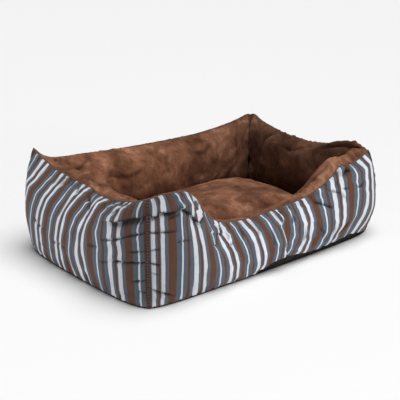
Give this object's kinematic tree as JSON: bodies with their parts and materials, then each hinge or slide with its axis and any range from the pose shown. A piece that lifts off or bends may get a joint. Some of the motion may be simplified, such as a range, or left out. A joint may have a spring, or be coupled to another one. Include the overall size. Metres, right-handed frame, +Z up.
{
  "type": "pet cushion bed",
  "caption": "Rectangular padded bed for a cat or small dog: striped bolster walls lined with suede, a dipped entrance in one long wall and a loose cushion in the well.",
  "frame": {"origin": "on the floor under the middle of the bed's bounding box", "axes": "+X along the long side, towards the right-hand wall as seen from the entrance; +Y from the entrance wall to the back wall; +Z up"},
  "size_m": [0.7224, 0.4954, 0.2378],
  "materials": {
    "striped_cloth": "matt woven cloth with brown, slate, white stripes up the wall",
    "brown_suede": "short-napped suede",
    "fibre_filling": "loose fibre wadding",
    "brown_thread": "overlocked thread over the cut edges",
    "dark_base_cloth": "plain dark non-slip cloth"
  },
  "bodies": {
    "bed": {"front_outer_panel": "striped_cloth", "right_outer_panel": "striped_cloth", "back_outer_panel": "striped_cloth", "left_outer_panel": "striped_cloth", "front_inner_panel": "brown_suede", "right_inner_panel": "brown_suede", "back_inner_panel": "brown_suede", "left_inner_panel": "brown_suede", "front_wall_filling": "fibre_filling", "right_wall_filling": "fibre_filling", "back_wall_filling": "fibre_filling", "left_wall_filling": "fibre_filling", "front_rim_seam": "brown_thread", "right_rim_seam": "brown_thread", "back_rim_seam": "brown_thread", "left_rim_seam": "brown_thread", "front_left_outer_corner_seam": "brown_thread", "front_right_outer_corner_seam": "brown_thread", "back_right_outer_corner_seam": "brown_thread", "back_left_outer_corner_seam": "brown_thread", "front_left_inner_corner_seam": "brown_thread", "front_right_inner_corner_seam": "brown_thread", "back_right_inner_corner_seam": "brown_thread", "back_left_inner_corner_seam": "brown_thread", "underside_panel": "dark_base_cloth", "base_edge_seam": "brown_thread", "base_pad": "fibre_filling", "deck_panel": "brown_suede"},
    "cushion": {"cushion_top_cover": "brown_suede", "cushion_bottom_cover": "brown_suede", "cushion_filling": "fibre_filling", "cushion_edge_seam": "brown_thread"}
  },
  "joints": [
    {"name": "cushion_lift", "type": "slide", "parent": "bed", "child": "cushion", "axis": [0, 0, 1], "range_m": [0, 0.25]}
  ]
}
